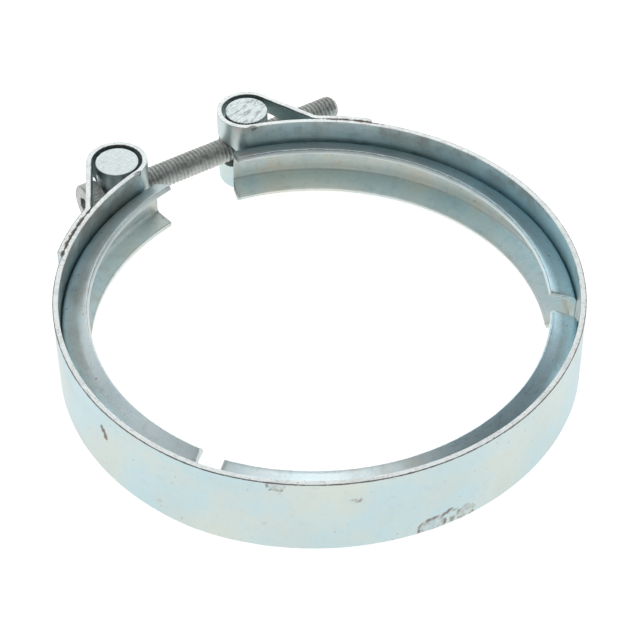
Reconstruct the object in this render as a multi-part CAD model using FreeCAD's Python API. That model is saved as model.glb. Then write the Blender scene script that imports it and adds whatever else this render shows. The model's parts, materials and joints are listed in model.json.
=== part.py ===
import FreeCAD, Part
import math
import os

# V-band clamp: a flat strap with a looped end on each side of the opening, three V retainer
# segments spot-welded inside it, and a cap screw that pulls two trunnions together.
# Frame: origin on the ring's axis at the strap's mid-width, +Z along the axis, +X across the
# ring, +Y towards the screw. Millimetres.

Vector = FreeCAD.Vector
UP = Vector(0, 0, 1)

# strap
STRAP_WIDTH = 19.0
STRAP_THICKNESS = 1.25
RING_OUTER_RADIUS = 58.5
FLEX_SLIT = 0.2
LEFT_FLEX_ANGLE = -114.0
RIGHT_FLEX_ANGLE = -2.1

# the left section is bent a little flatter than the rest, about a centre of its own
LEFT_CENTRE = Vector(2.8, -0.3, 0)

# looped ends
LOOP_INNER_RADIUS = 5.8
LEFT_LOOP_ANGLE = 138.0
RIGHT_LOOP_ANGLE = 104.5
LEFT_LOOP_WRAP = 225.5
RIGHT_LOOP_WRAP = 228.0
LEG_BEND_RADIUS = 4.0
TAB_GAP = 0.03
LEFT_TAB_ARC = 14.5
RIGHT_TAB_ARC = 12.0
NICK_RADIUS = 1.1
NICK_DEPTH = 0.5

# slots that the screw passes through
SHANK_SLOT_HEIGHT = 6.9
SHANK_SLOT_LENGTH = 10.0
WIDE_SLOT_HEIGHT = 11.0
WIDE_SLOT_LENGTH = 12.5
WIDE_SLOT_SHIFT = 0.25
SLOT_REACH = 16.0

# V retainers: a web on the strap and two flanges that lean outwards
RETAINER_THICKNESS = 1.2
RETAINER_DEPTH = 5.85
RETAINER_ROOT_HEIGHT = 4.25
RETAINER_LIP_HEIGHT = 6.4
RETAINER_OUTER_BEND = 2.0
RETAINER_LIFT = -0.4

# the left retainer is rolled unevenly: its upper flange leans out more than its lower one
LEFT_UPPER_LIP_HEIGHT = 7.2
LEFT_LOWER_LIP_HEIGHT = 5.0

FRONT_RETAINER_ENDS = (-111.0, -5.2)
RIGHT_RETAINER_ENDS = (0.9, 110.2)
LEFT_RETAINER_ENDS = (133.7, 240.5)

# trunnions
TRUNNION_RADIUS = 5.0
TRUNNION_LENGTH = 18.4
TRUNNION_CHAMFER = 0.1
SEAT_DISTANCE = 4.4
SEAT_HALF_HEIGHT = 6.6
CLEARANCE_HOLE_RADIUS = 3.25
TAPPED_HOLE_RADIUS = 3.06

# M6 x 65 low socket head cap screw, slack by a small gap under its head
SCREW_LENGTH = 65.0
HEAD_SLACK = 0.75
THREAD_RADIUS = 2.98
THREAD_PITCH = 1.0
THREAD_DEPTH = 0.54
THREAD_LENGTH = 61.0
TIP_CHAMFER = 0.8
HEAD_RADIUS = 5.0
HEAD_HEIGHT = 4.1
HEAD_EDGE = 0.45
SOCKET_ACROSS_FLATS = 4.0
SOCKET_DEPTH = 2.4

RING_CENTRE = Vector(0, 0, 0)
STRAP_MIDDLE = STRAP_THICKNESS / 2
LOOP_MIDDLE_RADIUS = LOOP_INNER_RADIUS + STRAP_MIDDLE


def polar(radius, degrees, centre=RING_CENTRE):
    """Point at a radius and an angle about a centre, in the plane of the ring."""
    turn = math.radians(degrees)
    return centre + Vector(radius * math.cos(turn), radius * math.sin(turn), 0)


def angle_of(vector):
    """Direction of a vector in the plane of the ring, in degrees."""
    return math.degrees(math.atan2(vector.y, vector.x))


LEFT_OUTER_RADIUS = (polar(RING_OUTER_RADIUS, LEFT_FLEX_ANGLE) - LEFT_CENTRE).Length
LEFT_FLEX_LOCAL_ANGLE = 360 + angle_of(polar(RING_OUTER_RADIUS, LEFT_FLEX_ANGLE) - LEFT_CENTRE)
LEFT_LOOP = polar(
    LEFT_OUTER_RADIUS - STRAP_MIDDLE + LOOP_MIDDLE_RADIUS, LEFT_LOOP_ANGLE, LEFT_CENTRE
)
RIGHT_LOOP = polar(RING_OUTER_RADIUS - STRAP_MIDDLE + LOOP_MIDDLE_RADIUS, RIGHT_LOOP_ANGLE)
SCREW_DIRECTION = (RIGHT_LOOP - LEFT_LOOP).normalize()
SCREW_ANGLE = angle_of(SCREW_DIRECTION)
HEAD_SEAT = LEFT_LOOP - SCREW_DIRECTION * (SEAT_DISTANCE + HEAD_SLACK)


def arc_run(centre, radius, start, end, swing):
    """One round stretch of a strap: swing is +1 anticlockwise and -1 clockwise."""
    return {"centre": centre, "radius": radius, "start": start, "end": end, "swing": swing}


def line_run(start, end):
    """One straight stretch of a strap."""
    return {"start": start, "end": end}


def run_edge(run, offset):
    """Edge of a stretch, moved sideways: a positive offset is to the left of the way it runs."""
    if "radius" not in run:
        along = (run["end"] - run["start"]).normalize()
        side = Vector(-along.y, along.x, 0) * offset
        return Part.LineSegment(run["start"] + side, run["end"] + side).toShape()
    radius = run["radius"] - run["swing"] * offset
    middle = (run["start"] + run["end"]) / 2
    points = [polar(radius, angle, run["centre"]) for angle in (run["start"], middle, run["end"])]
    return Part.Arc(*points).toShape()


def ribbon(runs, thickness, width):
    """Strip standing on edge along a chain of tangent stretches."""
    half = thickness / 2
    left = [run_edge(run, half) for run in runs]
    right = [run_edge(run, -half) for run in runs]
    start_cap = Part.LineSegment(left[0].Vertexes[0].Point, right[0].Vertexes[0].Point).toShape()
    end_cap = Part.LineSegment(left[-1].Vertexes[-1].Point, right[-1].Vertexes[-1].Point).toShape()
    wire = Part.Wire(Part.__sortEdges__(left + [end_cap] + right + [start_cap]))
    strip = Part.Face(wire).extrude(UP * width)
    strip.translate(UP * (-width / 2))
    return strip


def looped_runs(outer_radius, start_angle, loop_angle, wrap, tab_arc):
    """Strap round a centre at the origin, anticlockwise to its loop, back along a leg to a tab."""
    middle_radius = outer_radius - STRAP_MIDDLE
    tab_radius = outer_radius + STRAP_MIDDLE + TAB_GAP
    loop = polar(middle_radius + LOOP_MIDDLE_RADIUS, loop_angle)
    wrap_start = loop_angle + 180
    wrap_end = wrap_start - wrap
    leave = polar(LOOP_MIDDLE_RADIUS, wrap_end, loop)
    along = polar(1, wrap_end - 90)
    side = polar(LEG_BEND_RADIUS, wrap_end)
    # the leg is as long as its bend needs to run tangent into the tab
    base = leave + side
    reach = base.dot(along)
    gap = base.dot(base) - (tab_radius + LEG_BEND_RADIUS) ** 2
    leg_length = -reach - math.sqrt(reach * reach - gap)
    bend_centre = base + along * leg_length
    tab_start = angle_of(bend_centre)
    return [
        arc_run(RING_CENTRE, middle_radius, start_angle, loop_angle, 1),
        arc_run(loop, LOOP_MIDDLE_RADIUS, wrap_start, wrap_end, -1),
        line_run(leave, leave + along * leg_length),
        arc_run(bend_centre, LEG_BEND_RADIUS, wrap_end - 180, tab_start - 180, 1),
        arc_run(RING_CENTRE, tab_radius, tab_start, tab_start - tab_arc, -1),
    ]


def forming_nick(outer_radius, loop_angle):
    """Shallow nick in the strap's top inner corner, where the loop is bent up."""
    corner = polar(outer_radius - STRAP_THICKNESS, loop_angle) + UP * (STRAP_WIDTH / 2)
    start = corner + polar(NICK_RADIUS - NICK_DEPTH, loop_angle + 180)
    return Part.makeSphere(NICK_RADIUS, start)


def looped_section(outer_radius, start_angle, loop_angle, wrap, tab_arc):
    """One end of the strap, before its slots."""
    runs = looped_runs(outer_radius, start_angle, loop_angle, wrap, tab_arc)
    strip = ribbon(runs, STRAP_THICKNESS, STRAP_WIDTH)
    return strip.cut(forming_nick(outer_radius, loop_angle))


def along_screw(shape, origin=LEFT_LOOP):
    """Turn a shape made along +X onto the screw's axis, with its own origin at a point there."""
    shape.rotate(RING_CENTRE, UP, SCREW_ANGLE)
    shape.translate(origin)
    return shape


def slot_cutter(start, end, length, height, loop, shift=0):
    """Bar with round ends, along the screw's axis between two distances from a loop's centre.

    A positive shift moves it sideways, away from the ring."""
    half = length / 2 - height / 2
    corner = Vector(start, shift - half, -height / 2)
    bar = Part.makeBox(end - start, 2 * half, height, corner)
    ends = [
        Part.makeCylinder(height / 2, end - start, Vector(start, y, 0), Vector(1, 0, 0))
        for y in (shift - half, shift + half)
    ]
    return along_screw(bar.fuse(ends).removeSplitter(), loop)


def shank_slot(start, end, loop):
    """Slot on the side of a loop that faces the other loop."""
    return slot_cutter(start, end, SHANK_SLOT_LENGTH, SHANK_SLOT_HEIGHT, loop)


def wide_slot(start, end, loop):
    """Slot on the far side of a loop, in its leg: wide enough for the screw's head."""
    return slot_cutter(start, end, WIDE_SLOT_LENGTH, WIDE_SLOT_HEIGHT, loop, WIDE_SLOT_SHIFT)


def flex_half_slit(middle_radius):
    """Half of the slit between two strap sections, as an angle."""
    return math.degrees(FLEX_SLIT / 2 / middle_radius)


def strap_left():
    """Left strap section: mirrored, because it runs clockwise to its loop."""
    start = -LEFT_FLEX_LOCAL_ANGLE + flex_half_slit(LEFT_OUTER_RADIUS)
    strip = looped_section(
        LEFT_OUTER_RADIUS, start, -LEFT_LOOP_ANGLE, LEFT_LOOP_WRAP, LEFT_TAB_ARC
    )
    strip = strip.mirror(RING_CENTRE, Vector(0, 1, 0))
    strip.translate(LEFT_CENTRE)
    strip = strip.cut(shank_slot(0, SLOT_REACH, LEFT_LOOP))
    return strip.cut(wide_slot(-SLOT_REACH, 0, LEFT_LOOP))


def strap_right():
    """Right strap section, with a slot on both sides of its loop."""
    start = RIGHT_FLEX_ANGLE + flex_half_slit(RING_OUTER_RADIUS)
    strip = looped_section(
        RING_OUTER_RADIUS, start, RIGHT_LOOP_ANGLE, RIGHT_LOOP_WRAP, RIGHT_TAB_ARC
    )
    strip = strip.cut(shank_slot(-SLOT_REACH, 0, RIGHT_LOOP))
    return strip.cut(wide_slot(0, SLOT_REACH, RIGHT_LOOP))


def strap_front():
    """Plain front section of the strap between the two places where it flexes."""
    slit = flex_half_slit(RING_OUTER_RADIUS)
    run = arc_run(
        RING_CENTRE,
        RING_OUTER_RADIUS - STRAP_MIDDLE,
        LEFT_FLEX_ANGLE + slit,
        RIGHT_FLEX_ANGLE - slit,
        1,
    )
    return ribbon([run], STRAP_THICKNESS, STRAP_WIDTH)


def rounded_outline(corners):
    """Closed face through corners, each a point and the radius that rounds it (0 stays sharp)."""
    edges = []
    previous_end = None
    first_start = None
    count = len(corners)
    for index, (corner, radius) in enumerate(corners):
        back = (corners[index - 1][0] - corner).normalize()
        ahead = (corners[(index + 1) % count][0] - corner).normalize()
        start = corner
        end = corner
        if radius:
            half_angle = back.getAngle(ahead) / 2
            start = corner + back * (radius / math.tan(half_angle))
            end = corner + ahead * (radius / math.tan(half_angle))
            inward = (back + ahead).normalize()
            middle = corner + inward * (radius / math.sin(half_angle) - radius)
            edges.append(Part.Arc(start, middle, end).toShape())
        if previous_end:
            edges.append(Part.LineSegment(previous_end, start).toShape())
        first_start = first_start or start
        previous_end = end
    edges.append(Part.LineSegment(previous_end, first_start).toShape())
    return Part.Face(Part.Wire(Part.__sortEdges__(edges)))


def flange_corners(web_radius, lip_height):
    """Corners of one flange in the XZ plane, from the web's outside round to its inside."""
    slope = math.atan2(lip_height - RETAINER_ROOT_HEIGHT, RETAINER_DEPTH)
    lip_radius = web_radius - RETAINER_DEPTH
    inner_web = web_radius - RETAINER_THICKNESS
    lip_step = RETAINER_THICKNESS * math.sin(slope)
    inner_lip = lip_height - RETAINER_THICKNESS * math.cos(slope)
    inner_root = inner_lip - (inner_web - lip_radius + lip_step) * math.tan(slope)
    return [
        (Vector(web_radius, 0, RETAINER_ROOT_HEIGHT), RETAINER_OUTER_BEND),
        (Vector(lip_radius, 0, lip_height), 0),
        (Vector(lip_radius - lip_step, 0, inner_lip), 0),
        (Vector(inner_web, 0, inner_root), RETAINER_OUTER_BEND - RETAINER_THICKNESS),
    ]


def retainer_profile(web_radius, upper_lip, lower_lip):
    """Section of a retainer in the XZ plane: a V-sided channel open towards the ring's axis."""
    upper = flange_corners(web_radius, upper_lip)
    lower = [
        (Vector(point.x, 0, -point.z), radius)
        for point, radius in reversed(flange_corners(web_radius, lower_lip))
    ]
    return rounded_outline(upper + lower)


def retainer(centre, outer_radius, ends, upper_lip, lower_lip):
    """V retainer bent round a centre between two angles, its web flat on the strap."""
    profile = retainer_profile(outer_radius - STRAP_THICKNESS, upper_lip, lower_lip)
    body = profile.revolve(RING_CENTRE, UP, ends[1] - ends[0])
    body.rotate(RING_CENTRE, UP, ends[0])
    body.translate(centre + UP * RETAINER_LIFT)
    return body


def retainer_left():
    """Retainer of the left section, with its uneven flanges."""
    return retainer(
        LEFT_CENTRE,
        LEFT_OUTER_RADIUS,
        LEFT_RETAINER_ENDS,
        LEFT_UPPER_LIP_HEIGHT,
        LEFT_LOWER_LIP_HEIGHT,
    )


def even_retainer(ends):
    """Retainer of the front or right section, the same on both sides."""
    lip = RETAINER_LIP_HEIGHT
    return retainer(RING_CENTRE, RING_OUTER_RADIUS, ends, lip, lip)


def retainer_front():
    """Retainer of the front section."""
    return even_retainer(FRONT_RETAINER_ENDS)


def retainer_right():
    """Retainer of the right section, which ends under the right loop."""
    return even_retainer(RIGHT_RETAINER_ENDS)


def trunnion_blank():
    """Round steel pin with chamfered ends, standing on the ring's axis direction."""
    blank = Part.makeCylinder(TRUNNION_RADIUS, TRUNNION_LENGTH, UP * (-TRUNNION_LENGTH / 2))
    rims = [edge for edge in blank.Edges if edge.Closed]
    return blank.makeChamfer(TRUNNION_CHAMFER, rims)


def cross_hole(radius):
    """Cylinder through a trunnion, along the screw's axis."""
    reach = TRUNNION_RADIUS + 1
    return Part.makeCylinder(radius, 2 * reach, SCREW_DIRECTION * -reach, SCREW_DIRECTION)


def plain_trunnion():
    """Trunnion with a clearance hole and a flat that the screw's head bears on."""
    body = trunnion_blank().cut(cross_hole(CLEARANCE_HOLE_RADIUS))
    body.translate(LEFT_LOOP)
    side = 2 * TRUNNION_RADIUS
    flat = Part.makeBox(
        side, side, 2 * SEAT_HALF_HEIGHT, Vector(-side, -TRUNNION_RADIUS, -SEAT_HALF_HEIGHT)
    )
    flat.translate(Vector(-SEAT_DISTANCE, 0, 0))
    return body.cut(along_screw(flat))


def threaded_trunnion():
    """Trunnion with a cross hole that the screw turns in."""
    body = trunnion_blank().cut(cross_hole(TAPPED_HOLE_RADIUS))
    body.translate(RIGHT_LOOP)
    return body


def clamp_screw():
    """Socket head cap screw turned about X, then laid on the screw's axis."""
    root_radius = THREAD_RADIUS - THREAD_DEPTH
    outline = [
        Vector(-HEAD_HEIGHT, 0, 0),
        Vector(-HEAD_HEIGHT, 0, HEAD_RADIUS - HEAD_EDGE),
        Vector(-HEAD_HEIGHT + HEAD_EDGE, 0, HEAD_RADIUS),
        Vector(0, 0, HEAD_RADIUS),
        Vector(0, 0, THREAD_RADIUS),
    ]
    ring_count = int((THREAD_LENGTH - TIP_CHAMFER) / THREAD_PITCH)
    for ring in range(ring_count):
        start = SCREW_LENGTH - THREAD_LENGTH + ring * THREAD_PITCH
        outline.append(Vector(start + 0.1 * THREAD_PITCH, 0, THREAD_RADIUS))
        outline.append(Vector(start + 0.5 * THREAD_PITCH, 0, root_radius))
        outline.append(Vector(start + 0.9 * THREAD_PITCH, 0, THREAD_RADIUS))
    outline += [
        Vector(SCREW_LENGTH - TIP_CHAMFER, 0, THREAD_RADIUS),
        Vector(SCREW_LENGTH, 0, THREAD_RADIUS - TIP_CHAMFER),
        Vector(SCREW_LENGTH, 0, 0),
    ]
    profile = Part.Face(Part.makePolygon(outline + outline[:1]))
    body = profile.revolve(RING_CENTRE, Vector(1, 0, 0), 360)
    corner_radius = SOCKET_ACROSS_FLATS / math.sqrt(3)
    turns = [math.radians(30 + 60 * step) for step in range(7)]
    corners = [
        Vector(-HEAD_HEIGHT - 1, corner_radius * math.cos(turn), corner_radius * math.sin(turn))
        for turn in turns
    ]
    socket = Part.Face(Part.makePolygon(corners)).extrude(Vector(SOCKET_DEPTH + 1, 0, 0))
    return along_screw(body.cut(socket), HEAD_SEAT)


NODES = {
    "strap_left": strap_left,
    "strap_front": strap_front,
    "strap_right": strap_right,
    "retainer_left": retainer_left,
    "retainer_front": retainer_front,
    "retainer_right": retainer_right,
    "plain_trunnion": plain_trunnion,
    "threaded_trunnion": threaded_trunnion,
    "clamp_screw": clamp_screw,
}

os.makedirs("parts", exist_ok=True)
for node, make in NODES.items():
    shape = make()
    shape.exportStep(f"parts/{node}.step")
    print(node, "valid", shape.isValid(), "solids", len(shape.Solids), "volume", round(shape.Volume, 1))
print("left loop", LEFT_LOOP, "right loop", RIGHT_LOOP)
print("head seat", HEAD_SEAT, "screw angle", SCREW_ANGLE)
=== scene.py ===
import json
import math

import bmesh
import bpy
import numpy as np
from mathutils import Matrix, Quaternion, Vector, kdtree, noise


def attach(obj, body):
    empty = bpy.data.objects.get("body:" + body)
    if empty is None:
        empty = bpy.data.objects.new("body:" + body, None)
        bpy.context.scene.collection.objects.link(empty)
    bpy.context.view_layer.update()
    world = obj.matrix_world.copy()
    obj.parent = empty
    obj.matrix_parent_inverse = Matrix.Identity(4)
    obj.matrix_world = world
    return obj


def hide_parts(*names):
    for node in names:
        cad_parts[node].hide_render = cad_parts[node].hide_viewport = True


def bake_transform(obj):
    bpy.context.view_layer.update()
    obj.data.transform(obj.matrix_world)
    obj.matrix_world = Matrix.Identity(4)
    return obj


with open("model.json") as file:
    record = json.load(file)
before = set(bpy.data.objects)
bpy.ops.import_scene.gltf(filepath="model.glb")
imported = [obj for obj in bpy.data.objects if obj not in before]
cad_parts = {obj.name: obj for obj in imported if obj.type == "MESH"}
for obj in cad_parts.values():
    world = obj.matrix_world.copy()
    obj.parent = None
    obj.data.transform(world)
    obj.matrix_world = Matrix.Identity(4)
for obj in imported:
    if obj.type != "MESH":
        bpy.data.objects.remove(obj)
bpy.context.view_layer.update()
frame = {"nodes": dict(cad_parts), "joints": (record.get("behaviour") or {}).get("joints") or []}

# V-band clamp: strap, V retainers, trunnions and cap screw, as new zinc-plated steel.
# Lengths in the tables below are in millimetres; meshes are made in metres.

MM = 0.001
JOINTS = {joint["name"]: joint for joint in frame["joints"]}


def joint_point(name):
    """A joint's position in the plane of the ring, in millimetres."""
    return np.array(JOINTS[name]["pos_m"][:2]) / MM


# strap
STRAP_WIDTH = 19.0
STRAP_THICKNESS = 1.25
STRAP_CORNER = 0.11
RING_RADIUS = 58.5
LEFT_CENTRE = np.array([2.8, -0.3])
LEFT_FLEX = -114.0
SEAM_ANGLE = -58.0
FLEX_REACH = 3.0
LOOP_INNER_RADIUS = 5.8
LEFT_LOOP_ANGLE = 138.0
RIGHT_LOOP_ANGLE = 104.5
LEFT_LOOP_WRAP = 225.5
RIGHT_LOOP_WRAP = 228.0
LEG_BEND_RADIUS = 4.0
TAB_GAP = 0.03
LEFT_TAB_ARC = 14.5
RIGHT_TAB_ARC = 12.0
LEFT_TAB_SPAN = (153.5, 171.0)
RIGHT_TAB_SPAN = (73.0, 88.5)
NICK_RADIUS = 1.3
NICK_DEPTH = 0.6
NICK_DENT = 0.3
# spacing of the points along the strap's line
RING_STEP = 0.6
LOOP_STEP = 0.35
LEG_STEP = 0.5
BEND_STEP = 0.3
TAB_STEP = 0.5
# roughness of the sheared rim: band that it covers, depth of its notches and of its burr
RIM_BAND = 0.3
RIM_NOTCH = 0.035
RIM_BURR = 0.03
# depth of the faces' slow waves
FACE_WAVE = 0.02
# reach of the dark worn corner and of the brown seam beside a tab
WORN_REACH = 0.42
SEAM_REACH = 0.75
SEAM_DEPTH = 1.2
SEAM_FADE = 0.8
# the strap's outer side faces the other way over this many lengths from a tab's end
LEFT_TAB_LENGTH = 14.0
RIGHT_TAB_LENGTH = 12.0
TAB_SHARE = 1.2
# how far a slot's cutter reaches along the screw's axis
SLOT_REACH = 16
# slots: length, height, sideways shift away from the ring
SHANK_SLOT = (10.0, 6.9, 0.0)
WIDE_SLOT = (12.5, 11.0, 0.25)
LEFT_LOOP = joint_point("plain_trunnion_turn")
RIGHT_LOOP = joint_point("threaded_trunnion_turn")
SCREW_AXIS = np.array(JOINTS["screw_turn"]["axis"])
HEAD_SEAT = np.array(JOINTS["screw_turn"]["pos_m"]) / MM

# retainers
RETAINER_THICKNESS = 1.2
RETAINER_DEPTH = 5.85
ROOT_HEIGHT = 4.25
LIP_HEIGHT = 6.4
OUTER_BEND = 2.0
RETAINER_LIFT = -0.4
RETAINER_STEP = 0.8
# faint crease along each flange: distance from the web, rounding, and how far it stands out
CREASE_DISTANCE = 3.7
CREASE_ROUNDING = 3.0
UPPER_CREASE = 0.07
LOWER_CREASE = 0.05
LIP_ROUNDING = (0.18, 0.12)
ROLLING_WAVE = 0.035
LIP_NOTCH = 0.035
# share of the length between a cut end and the first row behind it
END_INSET = 0.0012

# screw
SCREW_LENGTH = 65.0
THREAD_RADIUS = 2.98
THREAD_DEPTH = 0.56
THREAD_START = 4.0
HEAD_RADIUS = 5.0
HEAD_HEIGHT = 4.1
SOCKET_FLATS = 4.0
SOCKET_DEPTH = 2.4
KNURLS = 48
KNURL_DEPTH = 0.08
ROWS_PER_PITCH = 10
POINTS_AROUND_SHANK = 44
POINTS_AROUND_HEAD = 192


def polar(radius, degrees, centre=(0.0, 0.0)):
    """Point at a radius and an angle about a centre."""
    turn = math.radians(degrees)
    return np.array(centre) + radius * np.array([math.cos(turn), math.sin(turn)])


LEFT_RADIUS = float(np.linalg.norm(polar(RING_RADIUS, LEFT_FLEX) - LEFT_CENTRE))

# each retainer: node, body, centre, strap's outer radius, arc in degrees, lip heights above and
# below, and how far each end of its lower flange and of its web is shifted in degrees
EVEN_LIPS = (LIP_HEIGHT, LIP_HEIGHT)
UNEVEN_LIPS = (7.2, 5.0)
RETAINERS = [
    ("retainer_left", "left_section", LEFT_CENTRE, LEFT_RADIUS,
     (133.7, 240.5), UNEVEN_LIPS, (0.4, 0.0), (0.0, 0.0)),
    ("retainer_front", "front_section", (0, 0), RING_RADIUS,
     (-111.0, -5.2), EVEN_LIPS, (0.0, 0.0), (0.0, 0.0)),
    ("retainer_right", "right_section", (0, 0), RING_RADIUS,
     (0.9, 110.2), EVEN_LIPS, (2.4, 0.6), (0.0, -0.8)),
]


# ---------------------------------------------------------------- mesh tools


def fractal(points, scale, octaves=3):
    """Smooth noise about 0 at points in millimetres; scale is the size of its largest lumps."""
    basis = "PERLIN_ORIGINAL"
    return np.array(
        [noise.fractal(Vector(p) / scale, 1.0, 2.0, octaves, noise_basis=basis) for p in points]
    )


def make_object(name, vertices, faces, smooth_angle=35.0):
    """Mesh object from vertices in millimetres."""
    mesh = bpy.data.meshes.new(name)
    mesh.from_pydata([tuple(v) for v in np.asarray(vertices) * MM], [], faces)
    mesh.update()
    tidy_normals(mesh)
    shade(mesh, smooth_angle)
    made = bpy.data.objects.new(name, mesh)
    bpy.context.scene.collection.objects.link(made)
    return made


def tidy_normals(mesh):
    """Weld doubled corners and turn every face outwards."""
    work = bmesh.new()
    work.from_mesh(mesh)
    bmesh.ops.remove_doubles(work, verts=work.verts, dist=1e-7)
    bmesh.ops.recalc_face_normals(work, faces=work.faces)
    work.to_mesh(mesh)
    work.free()


def shade(mesh, smooth_angle):
    """Smooth shading that stays crisp at corners."""
    mesh.shade_smooth()
    mesh.set_sharp_from_angle(angle=math.radians(smooth_angle))


def grid_faces(rows, columns):
    """Quads between closed rows of points, and a face on each end."""
    faces = []
    for i in range(rows - 1):
        here, ahead = i * columns, (i + 1) * columns
        for j in range(columns):
            k = (j + 1) % columns
            faces.append((here + j, here + k, ahead + k, ahead + j))
    faces.append(tuple(range(columns)))
    faces.append(tuple((rows - 1) * columns + j for j in reversed(range(columns))))
    return faces


def store(mesh, name, values):
    """Store one number, or one vector, per vertex."""
    kind, key = ("FLOAT", "value") if values.ndim == 1 else ("FLOAT_VECTOR", "vector")
    layer = mesh.attributes.new(name, kind, "POINT")
    layer.data.foreach_set(key, values.astype(np.float32).ravel())


def coordinates(mesh):
    """Vertex positions in millimetres."""
    out = np.zeros(len(mesh.vertices) * 3)
    mesh.vertices.foreach_get("co", out)
    return out.reshape(-1, 3) / MM


def carry(mesh, old_points, tables):
    """Give each vertex the numbers of the nearest old point."""
    tree = kdtree.KDTree(len(old_points))
    for index, point in enumerate(old_points):
        tree.insert(point, index)
    tree.balance()
    nearest = [tree.find(point)[1] for point in coordinates(mesh)]
    for name, values in tables.items():
        store(mesh, name, np.asarray(values)[nearest])


def subtract(target, cutter, smooth_angle=35.0):
    """Cut one object out of another and drop the cutter."""
    bpy.context.view_layer.update()
    change = target.modifiers.new("cut", "BOOLEAN")
    change.operation = "DIFFERENCE"
    change.solver = "EXACT"
    change.object = cutter
    graph = bpy.context.evaluated_depsgraph_get()
    mesh = bpy.data.meshes.new_from_object(target.evaluated_get(graph))
    target.modifiers.clear()
    target.data = mesh
    bpy.data.objects.remove(cutter)
    shade(mesh, smooth_angle)


# ---------------------------------------------------------------- strap


def arc_points(centre, radius, start, end, step):
    """Points and left-hand normals along an arc, from one angle to another."""
    count = max(3, int(abs(math.radians(end - start)) * radius / step) + 1)
    angles = np.radians(np.linspace(start, end, count))
    swing = 1.0 if end > start else -1.0
    out = np.column_stack([np.cos(angles), np.sin(angles)])
    return np.array(centre) + radius * out, -swing * out


def line_points(start, end, step):
    """Points and left-hand normals along a straight stretch."""
    length = float(np.linalg.norm(end - start))
    count = max(3, int(length / step) + 1)
    share = np.linspace(0, 1, count)[:, None]
    along = (end - start) / length
    normals = np.tile([-along[1], along[0]], (count, 1))
    return start + share * (end - start), normals


def looped_end(outer_radius, start, loop_angle, wrap, tab_arc):
    """Strap's middle line about the origin: round to its loop, back along a leg, onto the strap."""
    half = STRAP_THICKNESS / 2
    middle = outer_radius - half
    tab_radius = outer_radius + half + TAB_GAP
    loop_radius = LOOP_INNER_RADIUS + half
    loop = polar(middle + loop_radius, loop_angle)
    wrap_end = loop_angle + 180 - wrap
    leave = polar(loop_radius, wrap_end, loop)
    along = polar(1, wrap_end - 90)
    base = leave + polar(LEG_BEND_RADIUS, wrap_end)
    reach = base @ along
    gap = base @ base - (tab_radius + LEG_BEND_RADIUS) ** 2
    leg = -reach - math.sqrt(reach * reach - gap)
    bend_centre = base + along * leg
    tab_start = math.degrees(math.atan2(bend_centre[1], bend_centre[0]))
    tab_start += 360 * round((loop_angle - tab_start) / 360)
    return [
        arc_points((0, 0), middle, start, loop_angle, RING_STEP),
        arc_points(loop, loop_radius, loop_angle + 180, wrap_end, LOOP_STEP),
        line_points(leave, leave + along * leg, LEG_STEP),
        arc_points(bend_centre, LEG_BEND_RADIUS, wrap_end - 180, tab_start - 180, BEND_STEP),
        arc_points((0, 0), tab_radius, tab_start, tab_start - tab_arc, TAB_STEP),
    ]


def chain(parts):
    """Join stretches into one line, dropping the doubled points where they meet."""
    points = [parts[0][0]]
    normals = [parts[0][1]]
    for more_points, more_normals in parts[1:]:
        points.append(more_points[1:])
        normals.append(more_normals[1:])
    return np.vstack(points), np.vstack(normals)


def ease_kink(points, normals, where):
    """Replace the line near a point by one smooth bend."""
    distance = np.linalg.norm(points - where, axis=1)
    far = np.where(distance > FLEX_REACH)[0]
    nearest = np.argmin(distance)
    a, b = far[far < nearest][-1], far[far > nearest][0]
    tangent_a = np.array([normals[a][1], -normals[a][0]])
    tangent_b = np.array([normals[b][1], -normals[b][0]])
    span = float(np.linalg.norm(points[b] - points[a]))
    t = np.linspace(0, 1, int(span / 0.5) + 2)[1:-1, None]
    h00 = 2 * t**3 - 3 * t**2 + 1
    h10 = t**3 - 2 * t**2 + t
    h01 = -2 * t**3 + 3 * t**2
    h11 = t**3 - t**2
    new = h00 * points[a] + h10 * span * tangent_a
    new = new + h01 * points[b] + h11 * span * tangent_b
    slope = (
        (6 * t**2 - 6 * t) * points[a]
        + (3 * t**2 - 4 * t + 1) * span * tangent_a
        + (-6 * t**2 + 6 * t) * points[b]
        + (3 * t**2 - 2 * t) * span * tangent_b
    )
    slope /= np.linalg.norm(slope, axis=1)[:, None]
    side = np.column_stack([-slope[:, 1], slope[:, 0]])
    eased = np.vstack([points[: a + 1], new, points[b:]])
    return eased, np.vstack([normals[: a + 1], side, normals[b:]])


def strap_outline():
    """Strap's section as (sideways, height); sideways is positive on the ring's inner face."""
    half = STRAP_THICKNESS / 2
    top = STRAP_WIDTH / 2
    corner = STRAP_CORNER
    near_rim, field = top - 1.4, top - 2.0
    heights = np.concatenate([
        np.linspace(-top + corner, -near_rim, 4),
        np.linspace(-field, field, 22),
        np.linspace(near_rim, top - corner, 4),
    ])
    flat = np.linspace(half - corner, -half + corner, 5)
    turn = np.radians([15, 45, 75])
    rise, fall = corner * np.sin(turn), corner * np.cos(turn)
    loop = [(half, z) for z in heights]
    loop += [(half - corner + f, top - corner + r) for r, f in zip(rise, fall)]
    loop += [(n, top) for n in flat]
    loop += [(-half + corner - r, top - corner + f) for r, f in zip(rise, fall)]
    loop += [(-half, z) for z in heights[::-1]]
    loop += [(-half + corner - f, -top + corner - r) for r, f in zip(rise, fall)]
    loop += [(n, -top) for n in -flat]
    loop += [(half - corner + r, -top + corner - f) for r, f in zip(rise, fall)]
    return np.array(loop)


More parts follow.
